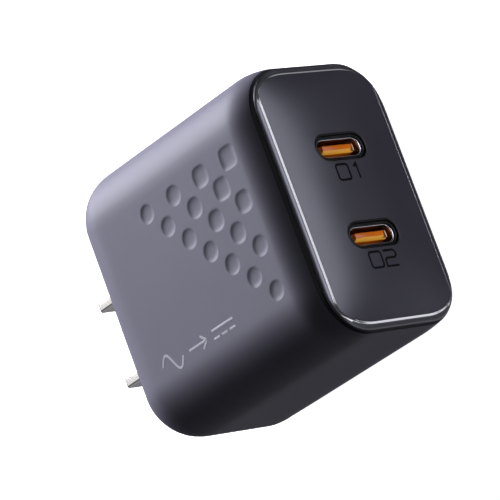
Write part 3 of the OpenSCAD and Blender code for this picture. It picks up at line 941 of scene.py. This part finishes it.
def blade(name, node):
    """The CAD node's flat blade, with softened edges."""
    bm = bmesh.new()
    bm.from_mesh(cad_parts[node].data)
    bmesh.ops.remove_doubles(bm, verts=bm.verts, dist=1e-7)
    bmesh.ops.dissolve_limit(bm, angle_limit=math.radians(2), verts=bm.verts, edges=bm.edges)
    me = bpy.data.meshes.new(name)
    bm.to_mesh(me)
    bm.free()
    ob = bpy.data.objects.new(name, me)
    bpy.context.scene.collection.objects.link(ob)
    soften(ob, "edges", 0.16, 3, 30)
    dg = bpy.context.evaluated_depsgraph_get()
    ob.data = bpy.data.meshes.new_from_object(ob.evaluated_get(dg))
    ob.modifiers.clear()
    tidy(ob)
    for p in ob.data.polygons:
        p.use_smooth = True
    sharp_by_angle(ob, 40)
    ob.data.materials.clear()
    ob.data.materials.append(MAT_BLADE)
    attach(ob, "plug")
    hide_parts(node)


blade("plug_blade_1", "blade_1")
blade("plug_blade_2", "blade_2")

# ---------------------------------------------------------------- CAD nodes that stay

KEEP = {
    "plug_carrier": MAT_BODY, "plug_cradle": MAT_BODY, "carrier_retainer": MAT_FRAME,
    "retainer_screws": MAT_SCREW, "contact_spring_1": MAT_BRONZE, "contact_spring_2": MAT_BRONZE,
    "detent_spring": MAT_STEEL, "input_board": MAT_BOARD, "main_board": MAT_BOARD,
    "port_board": MAT_BOARD, "usb_contacts_1": MAT_GOLD, "usb_contacts_2": MAT_GOLD,
    "fuse": MAT_CERAMIC, "bridge_rectifier": MAT_EPOXY, "x_capacitor": MAT_BOXCAP,
    "y_capacitor": MAT_DISC, "choke_core": MAT_PAINT, "choke_winding": MAT_COPPER,
    "bulk_capacitors": MAT_SLEEVE, "transformer_core": MAT_FERRITE, "transformer_bobbin": MAT_FRAME,
    "transformer_winding": MAT_TAPE, "switch_chip": MAT_EPOXY, "controller_chip": MAT_EPOXY,
    "port_chips": MAT_EPOXY, "output_capacitors": MAT_CAN, "thermal_pads": MAT_PAD,
    "heat_spreader": MAT_SPREAD, "insulation_film": MAT_FILM,
}
for name, material in KEEP.items():
    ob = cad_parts[name]
    if not ob.data.materials:
        ob.data.materials.append(material)
    for k in range(len(ob.data.materials)):
        ob.data.materials[k] = material
for name in ("plug_carrier", "plug_cradle"):
    soften(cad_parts[name], "soft_edges", 0.12, 2, 40)

# ---------------------------------------------------------------- camera

# the charger lies flat here, so the camera is rolled to see it as in the photograph
cam_data = bpy.data.cameras.new("camera")
cam_data.lens = 299.9
cam_data.sensor_width = 36.0
cam_data.clip_start = 0.01
cam_data.clip_end = 20.0
camera = bpy.data.objects.new("camera", cam_data)
bpy.context.scene.collection.objects.link(camera)
CAM_AT = Vector((-149.354, -453.789, 424.108)) * MM
CAM_RIGHT = Vector((-0.33684, -0.59689, -0.72819))
CAM_UP = Vector((0.90996, -0.40506, -0.08890))
CAM_BACK = CAM_RIGHT.cross(CAM_UP)
camera.matrix_world = Matrix((
    (CAM_RIGHT.x, CAM_UP.x, CAM_BACK.x, CAM_AT.x),
    (CAM_RIGHT.y, CAM_UP.y, CAM_BACK.y, CAM_AT.y),
    (CAM_RIGHT.z, CAM_UP.z, CAM_BACK.z, CAM_AT.z),
    (0, 0, 0, 1)))
bpy.context.scene.camera = camera

# ---------------------------------------------------------------- floor and light

FLOOR_HALF = 3.0                           # half size of the floor, in metres
FLOOR_GAP = 0.02                           # how far the floor lies below the housing


def pale_floor():
    """Glowing floor for a white background; it takes no part in reflections or bounced light."""
    m = Nodes("pale_floor")
    material = m.done(m.colours(m.noise(6.0), (0.80, 0.80, 0.80), (0.82, 0.82, 0.82)),
                      None, None, Roughness=0.9, Specular_IOR_Level=0.1,
                      Emission_Color=(1, 1, 1, 1), Emission_Strength=1.0)
    z = (HOUSING[0][2] - FLOOR_GAP) * MM
    ends = (-FLOOR_HALF, FLOOR_HALF)
    me = bpy.data.meshes.new("floor")
    me.from_pydata([(x, y, z) for y in ends for x in ends], [], [(0, 1, 3, 2)])
    floor = bpy.data.objects.new("floor", me)
    floor.data.materials.append(material)
    bpy.context.scene.collection.objects.link(floor)
    floor.visible_glossy = False
    floor.visible_diffuse = False
    floor.visible_shadow = False


pale_floor()

TARGET = Vector((0, -0.022, 0))            # near the middle of the body; the lights point here
LIGHT_AWAY = 0.6                           # distance of every light from there, in metres


def softbox(name, direction, size, power, colour=(1, 1, 1), gloss_only=False, matt_only=False):
    """Square area light that faces the object; direction is in X, Y, Z.

    A gloss_only light is seen in reflections alone, a matt_only one everywhere else.
    """
    d = Vector(direction).normalized()
    data = bpy.data.lights.new(name, "AREA")
    data.shape = "RECTANGLE"
    data.size = size
    data.size_y = size
    data.energy = power
    data.color = colour
    ob = bpy.data.objects.new(name, data)
    bpy.context.scene.collection.objects.link(ob)
    ob.location = TARGET + d * LIGHT_AWAY
    ob.rotation_euler = (-d).to_track_quat("-Z", "Y").to_euler()
    ob.visible_diffuse = not gloss_only
    ob.visible_glossy = not matt_only


BLUISH, COOL, PALE = (0.84, 0.84, 1.0), (0.91, 0.90, 1.0), (0.96, 0.96, 1.0)
softbox("key", (0.71, 0.64, 0.32), 0.40, 10.2, COOL, matt_only=True)
softbox("key_sheen", (0.70, 0.62, 0.36), 0.40, 4.8, PALE, gloss_only=True)
softbox("rear_low", (0.20, 0.46, -0.86), 0.34, 0.5, COOL)
softbox("side_sheen", (0.24, 0.69, 0.68), 0.60, 1.1, COOL, gloss_only=True)
softbox("under_sheen", (-0.24, 0.69, -0.68), 0.36, 0.10, COOL, gloss_only=True)
softbox("top_edge", (0.73, -0.02, -0.68), 0.24, 0.05, PALE, gloss_only=True)
softbox("right_edge", (0.24, 0.40, -0.88), 0.24, 0.015, PALE, gloss_only=True)
softbox("left_corner", (-0.64, -0.74, -0.13), 0.32, 0.32, PALE, gloss_only=True)
softbox("right_corner", (-0.30, -0.13, -0.94), 0.26, 0.16, PALE, gloss_only=True)
softbox("panel_sheen", (0.24, -0.93, -0.24), 0.30, 1.5, BLUISH, gloss_only=True)
softbox("edge_line", (0.24, -0.88, 0.42), 0.24, 0.20, PALE, gloss_only=True)
softbox("low_line", (-0.57, -0.46, -0.68), 0.28, 0.19, PALE, gloss_only=True)
softbox("base_fill", (-0.80, 0.45, -0.40), 0.34, 0.26, COOL, matt_only=True)
softbox("port_fill", (-0.07, -0.62, -0.78), 0.16, 2.9, matt_only=True)

world = bpy.data.worlds.new("studio")
bpy.context.scene.world = world
world.use_nodes = True
background = world.node_tree.nodes["Background"]
background.inputs["Color"].default_value = (0.92, 0.92, 1.0, 1)
background.inputs["Strength"].default_value = 0.045
bpy.context.scene.view_settings.view_transform = "Standard"
